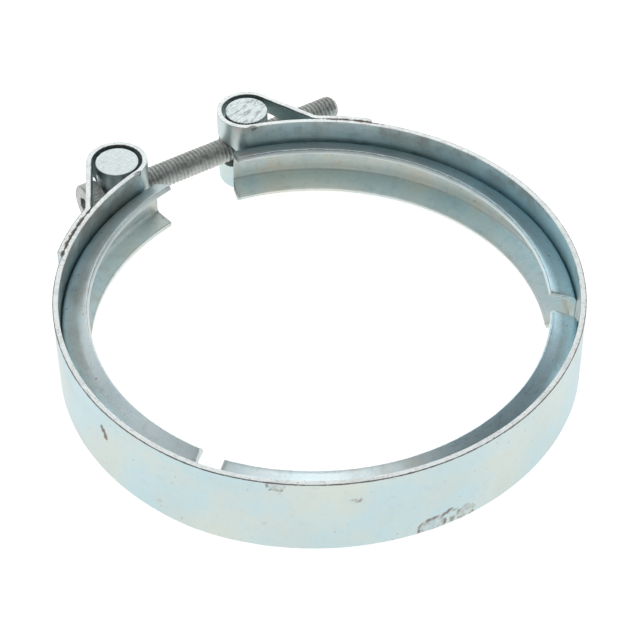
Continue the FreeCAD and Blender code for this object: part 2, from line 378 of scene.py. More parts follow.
def blot(theta, height, where, size, tilt=0.0):
    """Soft oval mark on the outer face: 1 at its middle, 0 at its rim and beyond."""
    along = (theta - where[0]) * math.radians(RING_RADIUS)
    up = height - where[1]
    turn = math.radians(tilt)
    a = (along * math.cos(turn) + up * math.sin(turn)) / size[0]
    b = (-along * math.sin(turn) + up * math.cos(turn)) / size[1]
    return np.clip(1 - np.sqrt(a * a + b * b), 0, 1)


# brown marks on the outer face: (angle, height), (half length, half height), tilt, strength
SCORCHES = [
    ((-139.7, 3.7), (0.9, 1.5), 22, 1.0),
    ((-138.9, 2.3), (0.9, 1.4), 8, 1.0),
    ((-82.4, 4.9), (1.7, 0.42), 10, 0.62),
    ((-81.8, 4.3), (1.7, 0.42), 10, 0.62),
    ((-82.2, 3.7), (1.4, 0.40), 8, 0.58),
    ((-63.2, -5.9), (2.2, 0.7), 24, 0.8),
    ((-60.6, -6.4), (1.6, 0.5), -12, 0.7),
    ((-67.6, -7.1), (1.2, 0.5), 10, 0.55),
    ((-61.9, -8.6), (0.6, 1.6), 0, 0.65),
    ((-100.6, -2.9), (1.3, 0.9), 0, 0.32),
    ((-123.7, -5.9), (1.6, 0.8), 30, 0.38),
    ((-118.5, -7.8), (1.2, 0.7), 0, 0.32),
]
# pale ovals with a brown rim, left by spot welds
WELD_OVALS = [((-98.0, 8.7), (2.1, 1.9)), ((-66.4, -8.4), (3.6, 2.8)), ((-58.6, -8.0), (2.6, 2.1))]


def marks_on(points, sideways):
    """Scorch strength at each strap vertex."""
    theta = np.degrees(np.arctan2(points[:, 1], points[:, 0]))
    outside = sideways < 0
    amount = np.zeros(len(points))
    for where, size, tilt, strength in SCORCHES:
        mark = np.clip(2.2 * blot(theta, points[:, 2], where, size, tilt), 0, 1)
        amount = np.maximum(amount, strength * mark)
    for where, size in WELD_OVALS:
        spot = blot(theta, points[:, 2], where, size)
        rim = np.exp(-(((spot - 0.16) / 0.12) ** 2)) * (spot > 0)
        amount = np.maximum(amount, np.maximum(0.72 * rim, 0.34 * (spot > 0.1)))
    return amount * outside


def seam_on(points, sideways, centre, radius, span):
    """Closeness to the line where the tab's rim meets the strap's, between two angles."""
    reach = points[:, :2] - centre
    theta = np.degrees(np.arctan2(reach[:, 1], reach[:, 0])) % 360
    near = np.clip(1 - np.abs(np.linalg.norm(reach, axis=1) - radius) / SEAM_REACH, 0, 1)
    begun = np.clip((theta - span[0]) / SEAM_FADE, 0, 1)
    inside = begun * np.clip((span[1] - theta) / SEAM_FADE, 0, 1)
    rim = np.clip((np.abs(points[:, 2]) - STRAP_WIDTH / 2 + SEAM_DEPTH) / SEAM_FADE, 0, 1)
    return near * inside * rim * (sideways < 0.1)


def strap_piece(name, line, tab_length, centre, radius, tab_span):
    """Strap swept along a line that ends in a tab, with a sheared, slightly ragged rim."""
    points, normals = line
    outline = strap_outline()
    rows, columns = len(points), len(outline)
    run = np.concatenate([[0], np.cumsum(np.linalg.norm(np.diff(points, axis=0), axis=1))])
    sideways = np.tile(outline[:, 0], (rows, 1))
    height = np.tile(outline[:, 1], (rows, 1))
    # the tab's cut end is eased
    sideways[-1] *= 0.8
    height[-1] *= 0.985
    flat = np.column_stack([np.repeat(run, columns), height.ravel(), sideways.ravel()])
    edge = np.clip((np.abs(height.ravel()) - (STRAP_WIDTH / 2 - RIM_BAND)) / RIM_BAND, 0, 1)
    ragged = fractal(flat * [1, 0.6, 1.6], 1.6, 3)
    notches = RIM_NOTCH * ragged * edge * np.sign(height.ravel())
    height = height + notches.reshape(rows, columns)
    burr = RIM_BURR * np.abs(fractal(flat + 40.0, 0.9, 2)) * edge * (sideways.ravel() < -0.3)
    sideways = sideways - burr.reshape(rows, columns)
    wave = FACE_WAVE * fractal(flat * [1, 1, 0], 9.0, 2).reshape(rows, columns)
    xy = points[:, None, :] + normals[:, None, :] * (sideways + wave)[:, :, None]
    vertices = np.concatenate([xy, height[:, :, None]], axis=2).reshape(-1, 3)
    made = make_object(name, vertices, grid_faces(rows, columns))
    # the dark worn corner is on the side that faces away from the ring's axis
    on_tab = (run[-1] - np.repeat(run, columns)) / tab_length < TAB_SHARE
    facing = np.where(on_tab, -1.0, 1.0) * sideways.ravel()
    drop = height.ravel() - STRAP_WIDTH / 2
    corner = np.clip(1 - np.hypot(facing + STRAP_THICKNESS / 2, drop) / WORN_REACH, 0, 1)
    rim = np.tile(np.abs(outline[:, 1]) > STRAP_WIDTH / 2 - 0.05, rows).astype(float)
    tables = {
        "along": flat,
        "corner": corner,
        "rim": rim,
        "scorch": marks_on(vertices, sideways.ravel()),
        "seam": seam_on(vertices, sideways.ravel(), centre, radius, tab_span),
    }
    return made, vertices, tables


def stadium_bar(start, end, length, height, shift, loop):
    """Bar with round ends along the screw's axis, to cut a slot with."""
    half = length / 2 - height / 2
    ring = []
    for sign, centre in ((1, shift + half), (-1, shift - half)):
        for turn in np.linspace(-90, 90, 13):
            angle = math.radians(turn)
            radius = sign * height / 2
            ring.append((centre + radius * math.cos(angle), radius * math.sin(angle)))
    u = SCREW_AXIS[:2]
    side = np.array([-u[1], u[0]])
    vertices = []
    for distance in (start, end):
        for across, up in ring:
            spot = loop + u * distance + side * across
            vertices.append((spot[0], spot[1], up))
    return make_object("slot_bar", vertices, grid_faces(2, len(ring)))


def nick_ball(centre, outer_radius, loop_angle):
    """Ball that nicks the strap's top inner corner where the loop is bent up."""
    reach = outer_radius - STRAP_THICKNESS - NICK_RADIUS + NICK_DEPTH
    spot = (*polar(reach, loop_angle, centre), STRAP_WIDTH / 2)
    work = bmesh.new()
    bmesh.ops.create_icosphere(work, subdivisions=3, radius=NICK_RADIUS)
    mesh = bpy.data.meshes.new("nick_ball")
    work.to_mesh(mesh)
    work.free()
    # the sphere is still in millimetres here, so the scaling in coordinates() is undone
    dents = fractal(coordinates(mesh) * MM + 7.0, 0.7, 2)
    shell = [
        (vertex.co * (1 + NICK_DENT * dent) + Vector(spot)) * MM
        for vertex, dent in zip(mesh.vertices, dents)
    ]
    mesh.vertices.foreach_set("co", np.array(shell, np.float32).ravel())
    mesh.update()
    ball = bpy.data.objects.new("nick_ball", mesh)
    bpy.context.scene.collection.objects.link(ball)
    return ball


def finish_strap(made, vertices, tables, slots, nick):
    """Cut the slots and the nick, then store the surface's numbers for its material."""
    for slot in slots:
        subtract(made, stadium_bar(*slot))
    subtract(made, nick_ball(*nick))
    carry(made.data, vertices, tables)
    return made


def build_straps():
    """The two halves of the strap, which meet behind the front retainer."""
    middle = RING_RADIUS - STRAP_THICKNESS / 2
    # the left half runs clockwise, so it is laid out in a mirror and then flipped in y
    flip = np.array([1, -1])
    start = polar(RING_RADIUS, -LEFT_FLEX) - LEFT_CENTRE * flip
    start_angle = math.degrees(math.atan2(start[1], start[0]))
    front = arc_points((0, 0), middle, -SEAM_ANGLE, -LEFT_FLEX, RING_STEP)
    side = looped_end(LEFT_RADIUS, start_angle, 360 - LEFT_LOOP_ANGLE, LEFT_LOOP_WRAP, LEFT_TAB_ARC)
    parts = [front] + [(points + LEFT_CENTRE * flip, normals) for points, normals in side]
    points, normals = ease_kink(*chain(parts), polar(middle, -LEFT_FLEX))
    line = (points * flip, normals * flip)
    left = strap_piece(
        "strap_left_half", line, LEFT_TAB_LENGTH, LEFT_CENTRE, LEFT_RADIUS, LEFT_TAB_SPAN
    )
    slots = [(0, SLOT_REACH, *SHANK_SLOT, LEFT_LOOP), (-SLOT_REACH, 0, *WIDE_SLOT, LEFT_LOOP)]
    left = finish_strap(*left, slots, (LEFT_CENTRE, LEFT_RADIUS, LEFT_LOOP_ANGLE))
    side = looped_end(RING_RADIUS, SEAM_ANGLE, RIGHT_LOOP_ANGLE, RIGHT_LOOP_WRAP, RIGHT_TAB_ARC)
    right = strap_piece(
        "strap_right_half", chain(side), RIGHT_TAB_LENGTH, (0, 0), RING_RADIUS, RIGHT_TAB_SPAN
    )
    slots = [(-SLOT_REACH, 0, *SHANK_SLOT, RIGHT_LOOP), (0, SLOT_REACH, *WIDE_SLOT, RIGHT_LOOP)]
    right = finish_strap(*right, slots, ((0, 0), RING_RADIUS, RIGHT_LOOP_ANGLE))
    return left, right


# ---------------------------------------------------------------- retainers


def rounded(corners):
    """Closed outline through corners, each (x, z, radius)."""
    segments = 4
    out = []
    count = len(corners)
    for index, (x, z, radius) in enumerate(corners):
        here = np.array([x, z])
        back = np.array(corners[index - 1][:2]) - here
        ahead = np.array(corners[(index + 1) % count][:2]) - here
        back /= np.linalg.norm(back)
        ahead /= np.linalg.norm(ahead)
        half = math.acos(float(np.clip(back @ ahead, -1, 1))) / 2
        reach = radius / math.tan(half)
        inward = (back + ahead) / np.linalg.norm(back + ahead)
        centre = here + inward * radius / math.sin(half)
        start = here + back * reach - centre
        end = here + ahead * reach - centre
        for share in np.linspace(0, 1, segments + 1):
            spoke = start * (1 - share) + end * share
            out.append(centre + spoke / np.linalg.norm(spoke) * radius)
    return np.array(out)


def flange_outline(web_radius, lip_height, crease):
    """One flange's corners as (radius, height, rounding), with a faint crease along it."""
    slope = math.atan2(lip_height - ROOT_HEIGHT, RETAINER_DEPTH)
    lean = math.tan(slope)
    lip = web_radius - RETAINER_DEPTH
    step = RETAINER_THICKNESS * math.sin(slope)
    inner_web = web_radius - RETAINER_THICKNESS
    inner_lip = lip_height - RETAINER_THICKNESS * math.cos(slope)
    inner_root = inner_lip - (inner_web - lip + step) * lean
    return [
        (web_radius, ROOT_HEIGHT, OUTER_BEND),
        (
            web_radius - CREASE_DISTANCE,
            ROOT_HEIGHT + CREASE_DISTANCE * lean + crease,
            CREASE_ROUNDING,
        ),
        (lip, lip_height, LIP_ROUNDING[0]),
        (lip - step, inner_lip, LIP_ROUNDING[1]),
        (inner_web, inner_root, OUTER_BEND - RETAINER_THICKNESS),
    ]


def retainer_outline(web_radius, upper_lip, lower_lip):
    """Retainer's section as (radius, height)."""
    upper = flange_outline(web_radius, upper_lip, UPPER_CREASE)
    lower = flange_outline(web_radius, lower_lip, LOWER_CREASE)
    return rounded(upper + [(r, -z, c) for r, z, c in reversed(lower)])


def refine(outline, longest):
    """Split long sides of a closed outline."""
    out = []
    for here, ahead in zip(outline, np.roll(outline, -1, axis=0)):
        count = max(1, int(math.ceil(np.linalg.norm(ahead - here) / longest)))
        out += [here + (ahead - here) * k / count for k in range(count)]
    return np.array(out)


def build_retainer(name, centre, outer_radius, ends, lips, slant, notch):
    """V retainer; slant moves the lower flange's ends by (first, last) degrees, notch the web's."""
    web = outer_radius - STRAP_THICKNESS
    outline = refine(retainer_outline(web, *lips), RETAINER_STEP)
    rows = int(math.radians(ends[1] - ends[0]) * web / RETAINER_STEP)
    share = np.concatenate([[0], np.linspace(END_INSET, 1 - END_INSET, rows - 2), [1]])
    low = (lips[0] - outline[:, 1]) / (lips[0] + lips[1])
    back = 1 - np.clip((web - outline[:, 0]) / 3.0, 0, 1)
    first = ends[0] + slant[0] * low + notch[0] * back
    last = ends[1] + slant[1] * low + notch[1] * back
    angle = np.radians(first[None, :] * (1 - share[:, None]) + last[None, :] * share[:, None])
    radius = np.tile(outline[:, 0], (rows, 1))
    height = np.tile(outline[:, 1], (rows, 1))
    # the cut ends are eased towards the middle of the sheet
    middle = web - RETAINER_THICKNESS / 2
    for row in (0, -1):
        radius[row] += np.sign(middle - radius[row]) * 0.05
        height[row] *= 0.99
    flat = np.column_stack([(angle * web).ravel(), height.ravel(), radius.ravel()])
    depth = web - radius
    wobble = fractal(flat * [0.35, 1, 1], 7.0, 2).reshape(rows, -1)
    height = height + ROLLING_WAVE * wobble * np.clip(depth / RETAINER_DEPTH, 0, 1)
    lip_noise = fractal(flat + 90, 1.1, 3).reshape(rows, -1)
    radius = radius + LIP_NOTCH * lip_noise * (depth > RETAINER_DEPTH - 0.35)
    x = centre[0] + radius * np.cos(angle)
    y = centre[1] + radius * np.sin(angle)
    vertices = np.column_stack([x.ravel(), y.ravel(), (height + RETAINER_LIFT).ravel()])
    made = make_object(name, vertices, grid_faces(rows, len(outline)))
    lip_line = np.clip((depth.ravel() - RETAINER_DEPTH + 0.1) / 0.4, 0, 1)
    # this mask carries the painted shade near the web's root and the painted highlight away from it
    root_line = np.clip(1 - depth.ravel() / 2.2, 0, 1) * (np.abs(height.ravel()) > 2.0)
    share_flat = np.repeat(share, len(outline))
    end_line = np.clip(1 - np.minimum(share_flat, 1 - share_flat) * rows / 2.0, 0, 1)
    tables = {"along": flat, "lip": lip_line, "root": root_line, "cut_end": end_line}
    carry(made.data, vertices, tables)
    return made


# ---------------------------------------------------------------- screw


def thread_radius(phase):
    """Radius of a metric thread over one pitch, phase from 0 to 1."""
    knots = [0.0, 0.07, 0.13, 0.40, 0.50, 0.60, 0.87, 0.93, 1.0]
    drop = [0.0, 0.0, 0.05, 0.93, 1.0, 0.93, 0.05, 0.0, 0.0]
    return THREAD_RADIUS - THREAD_DEPTH * np.interp(phase, knots, drop)


def lay_on_screw(local):
    """Points made along +X, moved onto the screw's axis under the head."""
    u = SCREW_AXIS[:2]
    side = np.array([-u[1], u[0]])
    xy = HEAD_SEAT[:2] + local[:, :1] * u + local[:, 1:2] * side
    return np.column_stack([xy, local[:, 2]])


def build_shank():
    """Shank with a helical thread that fades in below the head and ends in a chamfer."""
    around, per_pitch = POINTS_AROUND_SHANK, ROWS_PER_PITCH
    total = int(SCREW_LENGTH + 3) * per_pitch
    # every row of points is one step of the helix, so the crest runs unbroken round the shank
    step = np.repeat(np.arange(total), around)
    turn = np.tile(np.arange(around), total) * 2 * math.pi / around
    x = step / per_pitch - 2.0 + turn / (2 * math.pi)
    phase = (step / per_pitch) % 1.0
    radius = thread_radius(phase)
    fade = np.clip((x - THREAD_START + 0.8) / 1.2, 0, 1)
    radius = radius * fade + (THREAD_RADIUS - 0.12) * (1 - fade)
    # the tip is chamfered, then closed by a slightly hollow end face
    left_over = SCREW_LENGTH - x
    end_radius = THREAD_RADIUS - 0.95
    chamfer = end_radius + np.where(left_over > 0, 0.85, 2.0) * left_over
    radius = np.minimum(radius, np.maximum(chamfer, 0.0))
    x = np.clip(x, -0.3, SCREW_LENGTH)
    local = np.column_stack([x, radius * np.cos(turn), radius * np.sin(turn)])
    faces = []
    for i in range(total - 1):
        for j in range(around - 1):
            a = i * around + j
            faces.append((a, a + 1, a + around + 1, a + around))
    # the seam joins the end of one turn to the start of the next
    for i in range(total - per_pitch - 1):
        a = i * around + around - 1
        b = (i + per_pitch) * around
        faces.append((a, b, b + around, a + around))
    return lay_on_screw(local), faces


def build_head():
    """Low cylindrical head with straight knurling and chamfered rims."""
    around = POINTS_AROUND_HEAD
    # distance along the axis, radius, and 1 where the wall is knurled
    profile = [
        (-HEAD_HEIGHT, 0.0, 0),
        (-HEAD_HEIGHT, 3.1, 0),
        (-HEAD_HEIGHT + 0.02, HEAD_RADIUS - 0.62, 0),
        (-HEAD_HEIGHT + 0.14, HEAD_RADIUS - 0.32, 0),
        (-HEAD_HEIGHT + 0.42, HEAD_RADIUS - 0.06, 0),
        (-HEAD_HEIGHT + 0.62, HEAD_RADIUS, 1),
        (-1.9, HEAD_RADIUS, 1),
        (-0.36, HEAD_RADIUS, 1),
        (-0.12, HEAD_RADIUS - 0.08, 0),
        (0.0, HEAD_RADIUS - 0.3, 0),
        (0.0, 2.0, 0),
    ]
    turn = np.arange(around) * 2 * math.pi / around
    ridge = KNURL_DEPTH * (0.5 - 0.5 * np.cos(turn * KNURLS))
    local = []
    for x, radius, knurled in profile:
        r = radius - ridge * knurled
        local.append(np.column_stack([np.full(around, x), r * np.cos(turn), r * np.sin(turn)]))
    return lay_on_screw(np.vstack(local)), grid_faces(len(profile), around)


def hex_bar():
    """Hexagonal bar to cut the socket with."""
    corner = SOCKET_FLATS / math.sqrt(3)
    local = []
    for x, size in ((-HEAD_HEIGHT - 1, corner), (-HEAD_HEIGHT + SOCKET_DEPTH, corner)):
        for k in range(6):
            a = math.radians(30 + 60 * k)
            local.append((x, size * math.cos(a), size * math.sin(a)))
    return make_object("hex_bar", lay_on_screw(np.array(local)), grid_faces(2, 6))


def build_screw():
    """Cap screw: the knurled head with its socket, and the threaded shank."""
    head = make_object("screw_head", *build_head(), smooth_angle=28)
    subtract(head, hex_bar(), smooth_angle=28)
    shank = make_object("screw_shank", *build_shank(), smooth_angle=60)
    return head, shank


# ---------------------------------------------------------------- materials


class Nodes:
    """Small helper that adds nodes to one material and links them."""

    def __init__(self, name):
        self.material = bpy.data.materials.new(name)
        self.material.use_nodes = True
        self.tree = self.material.node_tree
        self.shader = self.tree.nodes["Principled BSDF"]

    def add(self, kind, settings=None, **inputs):
        node = self.tree.nodes.new(kind)
        for key, value in (settings or {}).items():
            setattr(node, key, value)
        for key, value in inputs.items():
            self.put(node.inputs[key.replace("_", " ")], value)
        return node

    def put(self, socket, value):
        """Link an output to a socket, or set a plain value on it."""
        if isinstance(value, bpy.types.NodeSocket):
            self.tree.links.new(value, socket)
        else:
            socket.default_value = value

    def attribute(self, name, output="Fac"):
        return self.add("ShaderNodeAttribute", {"attribute_name": name}).outputs[output]

    def position(self):
        return self.add("ShaderNodeTexCoord").outputs["Object"]

    def stretch(self, vector, scale):
        return self.add("ShaderNodeMapping", Vector=vector, Scale=scale).outputs["Vector"]

    def noise(self, vector, scale, detail=4.0, roughness=0.55):
        inputs = {"Vector": vector, "Scale": scale, "Detail": detail, "Roughness": roughness}
        return self.add("ShaderNodeTexNoise", **inputs).outputs["Fac"]

    def part(self, vector, axis):
        """One of a vector's numbers: X, Y or Z."""
        return self.add("ShaderNodeSeparateXYZ", Vector=vector).outputs[axis]

    def height(self):
        """Height in the part's own lengthwise coordinates, in millimetres."""
        return self.part(self.attribute("along", "Vector"), "Y")

    def dots(self, vector, scale, size, chance):
        """Small round specks: 1 inside, on a random share of the cells of a grid."""
        cells = self.add("ShaderNodeTexVoronoi", Vector=vector, Scale=scale)
        pick = self.add("ShaderNodeSeparateColor", Color=cells.outputs["Color"]).outputs["Red"]
        spot = self.ramp(cells.outputs["Distance"], size, size * 0.6)
        return self.math("MULTIPLY", spot, self.ramp(pick, 1 - chance, 1 - chance * 0.9))

    def ramp(self, value, low, high, start=0.0, end=1.0):
        """Smooth step from start to end as value goes from low to high."""
        limits = {"From_Min": low, "From_Max": high, "To_Min": start, "To_Max": end}
        smooth = {"interpolation_type": "SMOOTHSTEP"}
        node = self.add("ShaderNodeMapRange", smooth, Value=value, **limits)
        return node.outputs["Result"]

    def times(self, *values):
        """Product of any number of values."""
        product = values[0]
        for value in values[1:]:
            product = self.math("MULTIPLY", product, value)
        return product

    def less(self, value, share=1.0):
        """One minus a share of a value."""
        return self.math("SUBTRACT", 1.0, self.times(value, share))

    def blend_of(self, a, share_a, b, share_b):
        """Weighted sum of two values."""
        return self.math("ADD", self.times(a, share_a), self.times(b, share_b))

    def math(self, kind, a, b=0.0):
        node = self.add("ShaderNodeMath", {"operation": kind})
        self.put(node.inputs[0], a)
        self.put(node.inputs[1], b)
        return node.outputs[0]

    def mix(self, share, a, b):
        """Blend two colours."""
        node = self.add("ShaderNodeMix", {"data_type": "RGBA"})
        self.put(node.inputs["Factor"], share)
        # sockets 6 and 7 are the node's two colours, and output 2 is its colour result
        self.put(node.inputs[6], a if isinstance(a, bpy.types.NodeSocket) else (*a, 1))
        self.put(node.inputs[7], b if isinstance(b, bpy.types.NodeSocket) else (*b, 1))
        return node.outputs[2]

    def bump(self, height, distance, strength):
        node = self.add("ShaderNodeBump", Height=height, Distance=distance, Strength=strength)
        return node.outputs["Normal"]

    def surface(self, colour, roughness, normal=None, metallic=1.0):
        self.put(self.shader.inputs["Base Color"], colour)
        self.put(self.shader.inputs["Roughness"], roughness)
        self.put(self.shader.inputs["Metallic"], metallic)
        if normal is not None:
            self.put(self.shader.inputs["Normal"], normal)
        return self.material


# colours of the plating and of what lies on it
PLATE_CYAN = (0.56, 0.715, 0.745)
PLATE_BEIGE = (0.695, 0.74, 0.67)
PLATE_CLOUD = (0.55, 0.69, 0.725)
PLATE_FLECK_PALE = (0.72, 0.77, 0.73)
PLATE_FLECK_DARK = (0.44, 0.52, 0.52)
PLATE_STREAK = (0.74, 0.78, 0.76)
INNER_GREY = (0.46, 0.51, 0.51)
INNER_PALE = (0.66, 0.68, 0.65)
INNER_DARK = (0.31, 0.34, 0.335)
INNER_BLUE = (0.64, 0.76, 0.78)
INNER_SOOT = (0.34, 0.28, 0.23)
INNER_PIT = (0.10, 0.10, 0.10)
RIM_BRIGHT = (0.90, 0.945, 0.94)
RIM_DINGY = (0.62, 0.66, 0.65)
RIM_WORN = (0.42, 0.39, 0.36)
SPECK_DARK = (0.20, 0.18, 0.16)
SPECK_BROWN = (0.30, 0.27, 0.23)
CORNER_BLACK = (0.085, 0.07, 0.06)
SCORCH_BROWN = (0.25, 0.185, 0.15)
SEAM_BROWN = (0.17, 0.14, 0.115)
ROLLED_BLUE = (0.58, 0.76, 0.83)
ROLLED_PALE = (0.67, 0.79, 0.81)
# painted shade at the flanges' roots, and a painted highlight towards their lips
ROOT_PAINTED_SHADE = (0.44, 0.62, 0.69)
LIP_PAINTED_HIGHLIGHT = (0.80, 0.88, 0.89)
# painted reflection on the upper flanges towards the right of the ring
SIDE_PAINTED_REFLECTION = (0.57, 0.86, 0.98)
GROOVE_GREEN = (0.65, 0.735, 0.70)
GROOVE_BEIGE = (0.745, 0.745, 0.655)
# painted reflection in the groove towards the sides of the ring
GROOVE_SIDE_PAINTED_REFLECTION = (0.85, 0.94, 0.95)
GROOVE_WARM = (0.73, 0.69, 0.57)
GROOVE_COOL = (0.49, 0.65, 0.69)
ROLLED_FLECK_PALE = (0.80, 0.83, 0.81)
ROLLED_FLECK_DARK = (0.36, 0.41, 0.41)
ROLLED_STREAK = (0.80, 0.84, 0.83)
ROLLED_GRAIN = (0.36, 0.37, 0.36)
ROLLED_SPECK = (0.16, 0.14, 0.12)
ROLLED_STAIN = (0.50, 0.42, 0.31)
# pale lip: partly wear, partly a painted highlight; and a painted shade line behind it
LIP_WEAR_AND_HIGHLIGHT = (0.80, 0.82, 0.80)
LIP_PAINTED_SHADE_LINE = (0.14, 0.13, 0.12)
CUT_GREY = (0.52, 0.55, 0.52)
TURNED_DARK = (0.60, 0.68, 0.68)
TURNED_PALE = (0.80, 0.86, 0.86)
TURNED_SCRATCH = (0.34, 0.38, 0.39)
TURNED_SPECK = (0.22, 0.22, 0.22)
SCREW_DARK = (0.44, 0.46, 0.44)
SCREW_PALE = (0.69, 0.71, 0.69)
SCREW_PATCH = (0.74, 0.75, 0.71)
# depth of the bump on smooth and on rough finishes, in metres
FINE_BUMP = 0.00002
TURNED_BUMP = 0.00003
DULL_BUMP = 0.00004
# the ring's inner face lies within this distance of the axis, and the loops beyond the other
RING_REACH = 0.0575
LOOP_REACH = 0.0600


def plating(n, spot, cloud, streaks):
    """Colour of the strap's zinc plate, with its patches, flecks and streaks."""
    tint = n.noise(spot, 60.0, 5.0, 0.65)
    colour = n.mix(n.ramp(tint, 0.40, 0.66), PLATE_CYAN, PLATE_BEIGE)
    colour = n.mix(n.ramp(cloud, 0.35, 0.7, 0.0, 0.35), colour, PLATE_CLOUD)
    flecks = n.noise(spot, 520.0, 5.0, 0.75)
    colour = n.mix(n.ramp(flecks, 0.52, 0.72, 0.0, 0.30), colour, PLATE_FLECK_PALE)
    colour = n.mix(n.ramp(flecks, 0.46, 0.30, 0.0, 0.22), colour, PLATE_FLECK_DARK)
    return n.mix(n.ramp(streaks, 0.55, 0.75, 0.0, 0.25), colour, PLATE_STREAK)


def inner_face(n, spot, along, colour):
    """The ring's inner face: greyer and more mottled than the outer one, bluish on one side."""
    reach = n.add(
        "ShaderNodeVectorMath", {"operation": "LENGTH"}, Vector=n.stretch(spot, (1, 1, 0))
    ).outputs["Value"]
    on_ring = n.ramp(reach, LOOP_REACH, RING_REACH)
    inner = n.times(n.ramp(n.part(along, "Z"), 0.2, 0.6), on_ring)
    smudge = n.noise(spot, 210.0, 5.0, 0.7)
    colour = n.mix(n.times(inner, 0.55), colour, INNER_GREY)
    colour = n.mix(n.times(inner, n.ramp(smudge, 0.5, 0.64, 0.0, 0.5)), colour, INNER_PALE)
    colour = n.mix(n.times(inner, n.ramp(smudge, 0.48, 0.34, 0.0, 0.5)), colour, INNER_DARK)
    bluish = n.ramp(n.part(spot, "X"), 0.015, 0.050, 0.0, 0.55)
    colour = n.mix(n.times(inner, bluish), colour, INNER_BLUE)
    sooty = n.ramp(n.noise(spot, 42.0, 5.0, 0.7), 0.46, 0.60, 0.0, 0.75)
    near_rim = n.ramp(n.height(), 4.5, 9.0, 0.25, 1.0)
    colour = n.mix(n.times(inner, sooty, near_rim), colour, INNER_SOOT)
    pits = n.dots(spot, 300.0, 0.10, 0.16)
    return n.mix(n.times(pits, inner, 0.8), colour, INNER_PIT)


def sheared_rim(n, spot, rim, colour):
    """The strap's bright sheared rim, dingy and worn in places."""
    colour = n.mix(n.times(rim, 0.92), colour, RIM_BRIGHT)
    dingy = n.ramp(n.noise(spot, 340.0, 4.0, 0.65), 0.46, 0.62, 0.0, 0.35)
    colour = n.mix(n.times(rim, dingy), colour, RIM_DINGY)
    worn = n.ramp(n.noise(spot, 1500.0, 3.0, 0.7), 0.54, 0.68, 0.0, 0.45)
    return n.mix(n.times(rim, worn), colour, RIM_WORN)


def dark_corner(n, spot, colour):
    """Black, broken line along the strap's outer top corner."""
    grime = n.noise(spot, 1100.0, 5.0, 0.7)
    patchy = n.noise(spot, 260.0, 3.0)
    ragged = n.math("ADD", n.attribute("corner"), n.blend_of(grime, 0.75, patchy, 0.55))
    return n.mix(n.times(n.ramp(ragged, 1.16, 1.34), 0.8), colour, CORNER_BLACK)


def weld_marks(n, spot, colour):
    """Scorches and the burnt seam beside each tab; gives the colour and how burnt it is."""
    lumps = n.times(n.math("SUBTRACT", n.noise(spot, 700.0, 4.0, 0.65), 0.5), 0.9)
    scorch = n.ramp(n.math("ADD", n.attribute("scorch"), lumps), 0.16, 0.72)
    colour = n.mix(n.times(scorch, 0.8), colour, SCORCH_BROWN)
    seam = n.attribute("seam")
    crust = n.times(n.math("SUBTRACT", n.noise(spot, 520.0, 5.0, 0.75), 0.5), 2.6)
    burnt = n.ramp(n.math("ADD", n.times(seam, 0.9), crust), 0.30, 0.66)
    burnt = n.times(burnt, n.ramp(seam, 0.0, 0.15))
    colour = n.mix(n.times(burnt, 0.85), colour, SEAM_BROWN)
    return colour, n.math("MAXIMUM", scorch, burnt)


def strap_material():
    """Satin zinc plate: pale cyan with beige patches, specks, scratches and weld scorches."""
    n = Nodes("zinc_strap")
    spot = n.position()
    along = n.attribute("along", "Vector")
    rim = n.attribute("rim")
    cloud = n.noise(spot, 120.0, 4.0)
    streaks = n.noise(n.stretch(along, (0.05, 1.4, 0.2)), 5.0, 5.0, 0.7)
    colour = plating(n, spot, cloud, streaks)
    colour = inner_face(n, spot, along, colour)
    colour = sheared_rim(n, spot, rim, colour)
    colour = n.mix(n.times(n.dots(spot, 420.0, 0.13, 0.025), 0.6), colour, SPECK_DARK)
    colour = n.mix(n.times(n.dots(spot, 1100.0, 0.3, 0.02), 0.4), colour, SPECK_BROWN)
    colour = dark_corner(n, spot, colour)
    colour, burnt = weld_marks(n, spot, colour)
    rough = n.ramp(n.blend_of(streaks, 0.5, cloud, 0.5), 0.3, 0.7, 0.32, 0.44)
    rough = n.math("MAXIMUM", rough, n.times(burnt, 0.62))
    rough = n.math("MAXIMUM", rough, n.times(rim, 0.5))
    fine = n.noise(spot, 2600.0, 3.0, 0.6)
    return n.surface(colour, rough, n.bump(n.blend_of(streaks, 0.4, fine, 0.6), FINE_BUMP, 0.6))


def rolled_colour(n, spot, cloud, tint, low):
    """The retainer's plating: bluish above the groove, beige-green in it, with painted shade at the
    web's root, a painted highlight towards the lips and painted reflections towards the sides.
    """
    across = n.part(spot, "X")
    root = n.attribute("root")
    blue = n.mix(n.ramp(cloud, 0.35, 0.7), ROLLED_BLUE, ROLLED_PALE)
    # painted shade: the flanges are darker towards the web's root
    blue = n.mix(n.times(root, 0.6), blue, ROOT_PAINTED_SHADE)
    # painted highlight: the flanges are paler away from the root, towards the lips
    blue = n.mix(n.ramp(root, 0.15, 0.0, 0.0, 0.45), blue, LIP_PAINTED_HIGHLIGHT)
    # painted reflection: the upper flanges are bluer and brighter towards +x, the right of the ring
    blue = n.mix(n.ramp(across, 0.005, 0.050, 0.0, 0.8), blue, SIDE_PAINTED_REFLECTION)
    beige = n.mix(n.ramp(tint, 0.38, 0.66), GROOVE_GREEN, GROOVE_BEIGE)
    # painted reflection: the groove is paler and bluer towards both sides of the ring
    beside = n.ramp(n.math("ABSOLUTE", across), 0.032, 0.050, 0.0, 0.7)
    beige = n.mix(beside, beige, GROOVE_SIDE_PAINTED_REFLECTION)
    colour = n.mix(low, blue, beige)
    mottle = n.noise(spot, 150.0, 6.0, 0.7)
    colour = n.mix(n.times(low, n.ramp(mottle, 0.52, 0.62, 0.0, 0.45)), colour, GROOVE_WARM)
    return n.mix(n.times(low, n.ramp(mottle, 0.47, 0.37, 0.0, 0.35)), colour, GROOVE_COOL)


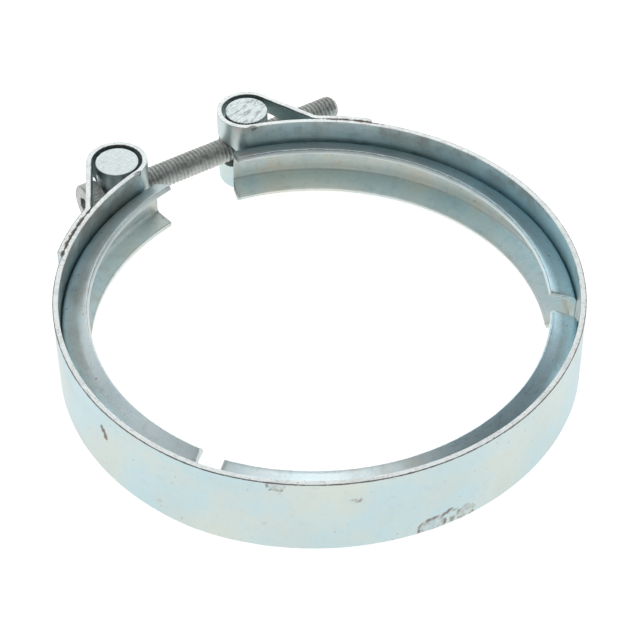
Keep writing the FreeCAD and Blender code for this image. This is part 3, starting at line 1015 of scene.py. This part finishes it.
def rolled_marks(n, spot, streak, colour):
    """Flecks, streaks, specks and brown stains on the retainer."""
    flecks = n.noise(spot, 620.0, 5.0, 0.75)
    colour = n.mix(n.ramp(flecks, 0.50, 0.68, 0.0, 0.28), colour, ROLLED_FLECK_PALE)
    colour = n.mix(n.ramp(flecks, 0.48, 0.32, 0.0, 0.28), colour, ROLLED_FLECK_DARK)
    colour = n.mix(n.ramp(streak, 0.5, 0.72, 0.0, 0.35), colour, ROLLED_STREAK)
    grain = n.noise(spot, 1300.0, 3.0, 0.7)
    colour = n.mix(n.ramp(grain, 0.62, 0.76, 0.0, 0.3), colour, ROLLED_GRAIN)
    colour = n.mix(n.times(n.dots(spot, 480.0, 0.14, 0.10), 0.7), colour, ROLLED_SPECK)
    stain = n.ramp(n.noise(spot, 55.0, 5.0, 0.65), 0.58, 0.70, 0.0, 0.30)
    return n.mix(stain, colour, ROLLED_STAIN)


def lip_wear_and_painted_light(n, spot, lip, low, colour):
    """Pale lip, partly worn and partly a painted highlight, with a painted shade line behind it,
    and grey cut ends.
    """
    chips = n.noise(spot, 900.0, 4.0)
    worn = n.ramp(n.math("ADD", lip, n.times(chips, 0.5)), 0.55, 0.85, 0.0, 0.6)
    # the pale lip is partly wear and partly a painted highlight
    colour = n.mix(n.times(worn, n.less(low, 0.65)), colour, LIP_WEAR_AND_HIGHLIGHT)
    # painted shade: a thin dark line just behind the lip
    line = n.times(n.ramp(lip, 0.12, 0.25), n.ramp(lip, 0.5, 0.35))
    line = n.times(line, n.ramp(chips, 0.38, 0.55, 0.25, 0.8), n.less(low, 0.85))
    colour = n.mix(line, colour, LIP_PAINTED_SHADE_LINE)
    return n.mix(n.times(n.attribute("cut_end"), 0.5), colour, CUT_GREY)


def retainer_material():
    """Rolled zinc-plated channel: smooth and bluish above, beige-green inside, with painted shade,
    highlights and reflections, and pale lips that are partly worn and partly a painted highlight.
    """
    n = Nodes("zinc_retainer")
    spot = n.position()
    along = n.attribute("along", "Vector")
    lip = n.attribute("lip")
    cloud = n.noise(spot, 110.0, 3.0)
    tint = n.noise(spot, 38.0, 2.0)
    low = n.ramp(n.math("ADD", n.height(), n.times(tint, 2.0)), 4.2, 1.8)
    streak = n.noise(n.stretch(along, (0.04, 1.6, 1.6)), 4.0, 5.0, 0.7)
    colour = rolled_colour(n, spot, cloud, tint, low)
    colour = rolled_marks(n, spot, streak, colour)
    colour = lip_wear_and_painted_light(n, spot, lip, low, colour)
    rough = n.ramp(n.blend_of(streak, 0.6, cloud, 0.4), 0.3, 0.7, 0.25, 0.36)
    rough = n.math("ADD", rough, n.times(low, 0.12))
    rough = n.math("ADD", rough, n.ramp(n.part(spot, "Y"), 0.0, 0.045, 0.0, 0.10))
    rough = n.math("MAXIMUM", rough, n.times(lip, 0.4))
    fine = n.noise(spot, 2600.0, 3.0, 0.6)
    return n.surface(colour, rough, n.bump(n.blend_of(streak, 0.5, fine, 0.5), FINE_BUMP, 0.45))


def trunnion_material():
    """Turned steel: pale mottled ends, one of them with dense diagonal scratches."""
    n = Nodes("trunnion_steel")
    spot = n.position()
    mottle = n.noise(spot, 1100.0, 4.0, 0.6)
    colour = n.mix(n.ramp(mottle, 0.36, 0.66), TURNED_DARK, TURNED_PALE)
    turned = n.add("ShaderNodeMapping", Vector=spot, Rotation=(0, 0, -0.95)).outputs["Vector"]
    hatch = n.noise(n.stretch(turned, (1.0, 4.5, 1.0)), 480.0, 3.0, 0.65)
    scratched = n.ramp(n.part(spot, "X"), -0.034, -0.028, 0.25, 1.0)
    scratch = n.times(n.ramp(hatch, 0.50, 0.60, 0.0, 0.85), scratched)
    colour = n.mix(scratch, colour, TURNED_SCRATCH)
    colour = n.mix(n.times(n.dots(spot, 1500.0, 0.3, 0.08), 0.6), colour, TURNED_SPECK)
    rough = n.ramp(mottle, 0.3, 0.7, 0.38, 0.52)
    return n.surface(colour, rough, n.bump(n.blend_of(hatch, 0.5, mottle, 0.5), TURNED_BUMP, 0.6))


def screw_material():
    """Dull neutral grey zinc plate, mottled, paler in patches."""
    n = Nodes("screw_steel")
    spot = n.position()
    mottle = n.noise(spot, 1200.0, 4.0, 0.65)
    colour = n.mix(n.ramp(mottle, 0.35, 0.68), SCREW_DARK, SCREW_PALE)
    patch = n.noise(spot, 240.0, 3.0)
    colour = n.mix(n.ramp(patch, 0.5, 0.75, 0.0, 0.5), colour, SCREW_PATCH)
    rough = n.ramp(mottle, 0.3, 0.7, 0.44, 0.58)
    return n.surface(colour, rough, n.bump(mottle, DULL_BUMP, 0.7))


# ---------------------------------------------------------------- stage

OVERHEAD_PLACE = (0, -0.12, 0.6)
OVERHEAD_TARGET = (0, -0.12, 0)
OVERHEAD_SIZE = (0.30, 0.38)
OVERHEAD_RADIANCE = 1.40
ROOM_COLOUR = (0.95, 0.98, 1.0, 1)
ROOM_STRENGTH = 0.13
FLOOR_SIZE = 1500.0
FLOOR_GREY = (0.35, 0.35, 0.35, 1)
FLOOR_GLOW = 0.9
CAMERA_TARGET = (1.0, -0.45, -0.48)
CAMERA_ELEVATION = 43.19
CAMERA_DISTANCE = 467.4
CAMERA_ROLL = -0.48
CAMERA_LENS = 119.83


def floor_material():
    """Matt white light table: pale, and a little lit from below."""
    n = Nodes("floor_white")
    n.shader.inputs["Emission Color"].default_value = (1, 1, 1, 1)
    n.shader.inputs["Emission Strength"].default_value = FLOOR_GLOW
    return n.surface(FLOOR_GREY, 0.9, metallic=0.0)


def build_floor():
    """Plain pale floor under the clamp."""
    low = -STRAP_WIDTH / 2
    size = FLOOR_SIZE
    corners = [(-size, -size, low), (size, -size, low), (size, size, low), (-size, size, low)]
    mesh = bpy.data.meshes.new("floor")
    mesh.from_pydata([tuple(np.array(c) * MM) for c in corners], [], [(0, 1, 2, 3)])
    floor = bpy.data.objects.new("floor", mesh)
    bpy.context.scene.collection.objects.link(floor)
    mesh.materials.append(floor_material())


# softboxes round the table: azimuth, elevation, half width and half height in degrees, radiance;
# the radiances are from a least-squares fit to the photo's colours, then rounded and scaled
SOFTBOXES = [
    (0, 9, 22.5, 7, 0.58),
    (90, 9, 22.5, 7, 0.35),
    (180, 9, 22.5, 7, 0.16),
    (225, 9, 22.5, 7, 0.12),
    (0, 25, 22.5, 9, 0.55),
    (45, 25, 22.5, 9, 1.22),
    (90, 25, 22.5, 9, 1.58),
    (135, 25, 22.5, 9, 0.82),
    (90, 48, 22.5, 14, 1.12),
    (135, 48, 22.5, 14, 0.46),
    (180, 48, 22.5, 14, 0.53),
    (90, 90, 26, 26, 0.08),
]
SOFTBOX_DISTANCE = 1.2


def softbox(name, place, target, size, radiance):
    """Rectangular area light aimed at a point."""
    light = bpy.data.lights.new(name, "AREA")
    light.shape = "RECTANGLE"
    light.size, light.size_y = size
    light.energy = radiance * math.pi * size[0] * size[1]
    lamp = bpy.data.objects.new(name, light)
    lamp.visible_camera = False
    lamp.location = place
    aim = Vector(target) - Vector(place)
    lamp.rotation_mode = "QUATERNION"
    lamp.rotation_quaternion = aim.to_track_quat("-Z", "Y")
    bpy.context.scene.collection.objects.link(lamp)


def build_lights():
    """Softboxes all round, brightest behind and overhead, in a dim room."""
    world = bpy.data.worlds.new("studio")
    bpy.context.scene.world = world
    world.use_nodes = True
    background = world.node_tree.nodes["Background"]
    background.inputs["Color"].default_value = ROOM_COLOUR
    background.inputs["Strength"].default_value = ROOM_STRENGTH
    for azimuth, elevation, half_width, half_height, radiance in SOFTBOXES:
        turn, rise = math.radians(azimuth), math.radians(elevation)
        away = (math.cos(rise) * math.cos(turn), math.cos(rise) * math.sin(turn), math.sin(rise))
        # a box of a given width in degrees of azimuth is narrower higher up; not the one overhead
        narrowing = math.cos(rise) if elevation < 80 else 1.0
        wide = 2 * SOFTBOX_DISTANCE * math.tan(math.radians(half_width)) * narrowing
        tall = 2 * SOFTBOX_DISTANCE * math.tan(math.radians(half_height))
        place = Vector(away) * SOFTBOX_DISTANCE
        softbox(f"softbox_{azimuth}_{elevation}", place, (0, 0, 0), (wide, tall), radiance)
    softbox("overhead", OVERHEAD_PLACE, OVERHEAD_TARGET, OVERHEAD_SIZE, OVERHEAD_RADIANCE)


def build_camera():
    """Camera at the photographed angle: 43 degrees above the horizon, straight on."""
    target = Vector(CAMERA_TARGET) * MM
    elevation = math.radians(CAMERA_ELEVATION)
    back = Vector((0, -math.cos(elevation), math.sin(elevation)))
    camera = bpy.data.cameras.new("camera")
    camera.sensor_width = 36.0
    camera.lens = CAMERA_LENS
    camera.clip_start = 0.02
    camera.clip_end = 20
    holder = bpy.data.objects.new("camera", camera)
    holder.location = target + back * CAMERA_DISTANCE * MM
    holder.rotation_mode = "QUATERNION"
    roll = Quaternion((0, 0, 1), math.radians(CAMERA_ROLL))
    holder.rotation_quaternion = (-back).to_track_quat("-Z", "Y") @ roll
    bpy.context.scene.collection.objects.link(holder)
    bpy.context.scene.camera = holder
    bpy.context.scene.view_settings.view_transform = "Standard"


# ---------------------------------------------------------------- assembly


def dress(piece, material):
    """Give a piece its only material."""
    piece.data.materials.clear()
    piece.data.materials.append(material)


def mount_straps(material):
    """The strap's halves, in place of the CAD strap's parts."""
    left, right = build_straps()
    for piece in (left, right):
        dress(piece, material)
    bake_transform(left)
    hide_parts("strap_left")
    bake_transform(right)
    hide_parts("strap_right", "strap_front")


def mount_retainers(material):
    """The three V retainers, each on its own section."""
    for node, body, *shape in RETAINERS:
        piece = build_retainer(node + "_rolled", *shape)
        dress(piece, material)
        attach(piece, body)
        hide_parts(node)


def mount_screw(material):
    """The screw's head and shank, which turn together."""
    head, shank = build_screw()
    for piece in (head, shank):
        dress(piece, material)
        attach(piece, "screw")
    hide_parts("clamp_screw")


def finish_trunnions(material):
    """The trunnions keep their CAD shapes and get a better finish."""
    for node in ("plain_trunnion", "threaded_trunnion"):
        dress(frame["nodes"][node], material)


mount_straps(strap_material())
mount_retainers(retainer_material())
mount_screw(screw_material())
finish_trunnions(trunnion_material())
build_floor()
build_lights()
build_camera()
